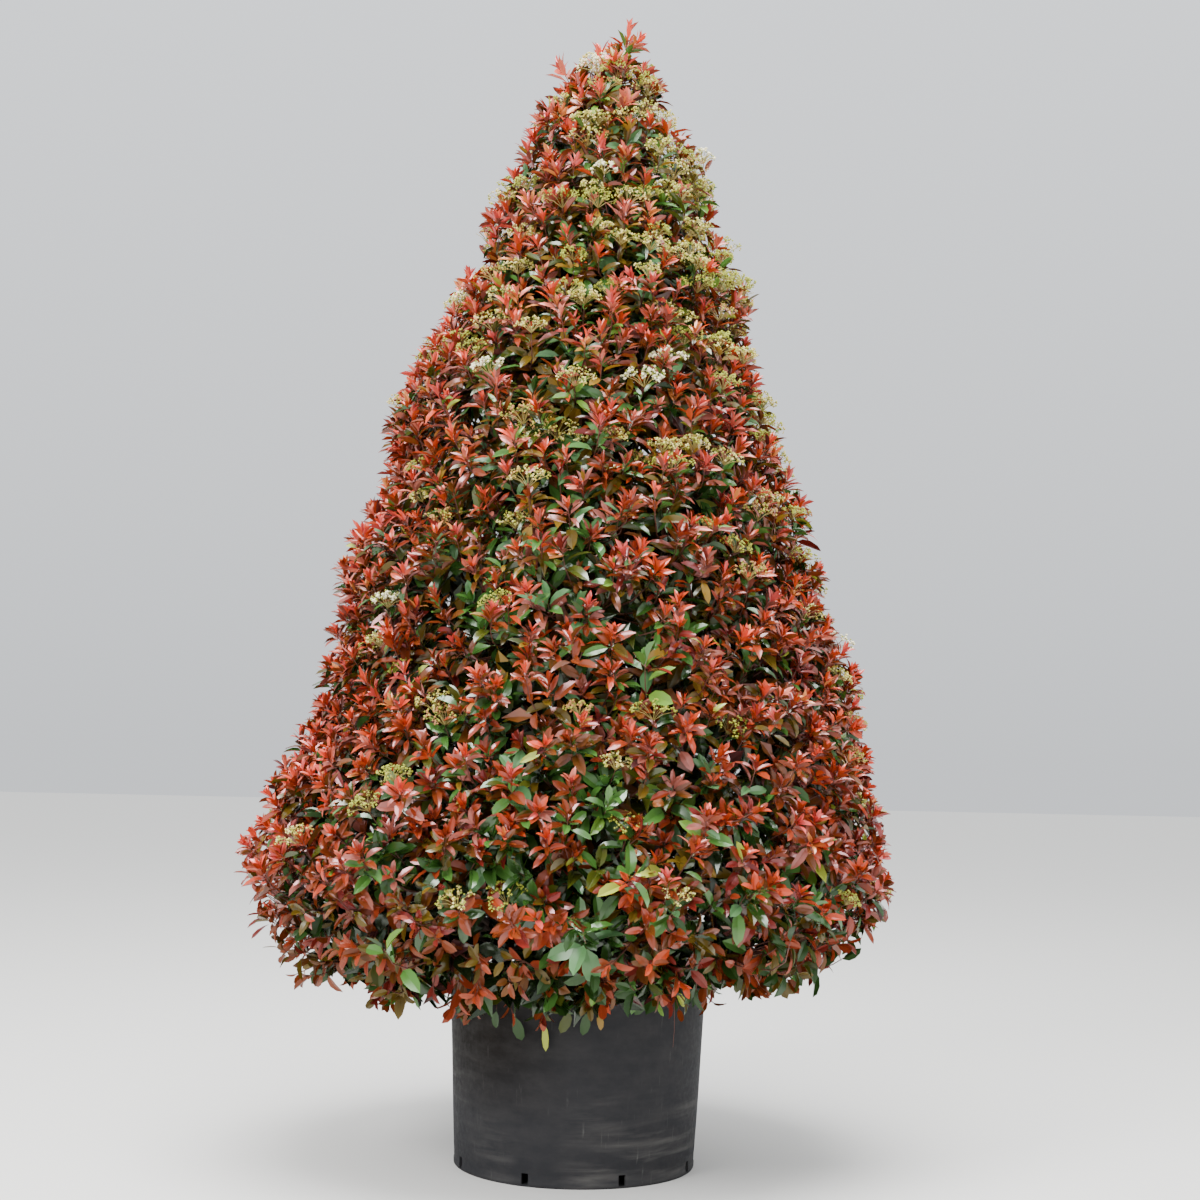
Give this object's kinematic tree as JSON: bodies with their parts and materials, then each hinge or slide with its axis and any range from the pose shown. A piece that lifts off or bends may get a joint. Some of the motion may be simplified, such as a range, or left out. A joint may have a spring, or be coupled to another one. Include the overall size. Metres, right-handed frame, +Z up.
{
  "type": "potted photinia cone topiary",
  "caption": "Clipped cone of photinia with red and green leaves and cream flower heads, on one stem in a large round black plastic nursery pot.",
  "frame": {"origin": "middle of the pot's flat underside", "axes": "+Z up, along the pot's axis; the pictured side faces -Y; +X is to the right in the picture, where the tip leans"},
  "size_m": [2.0579, 2.1115, 3.81],
  "materials": {
    "pot_plastic": "satin",
    "compost": "matte",
    "bark": "matte",
    "leaf": "satin"
  },
  "bodies": {
    "root": {"pot": "pot_plastic", "compost": "compost", "trunk": "bark", "foliage_skirt": "leaf", "foliage_lower": "leaf", "foliage_middle": "leaf", "foliage_upper": "leaf", "foliage_top": "leaf"}
  },
  "joints": []
}
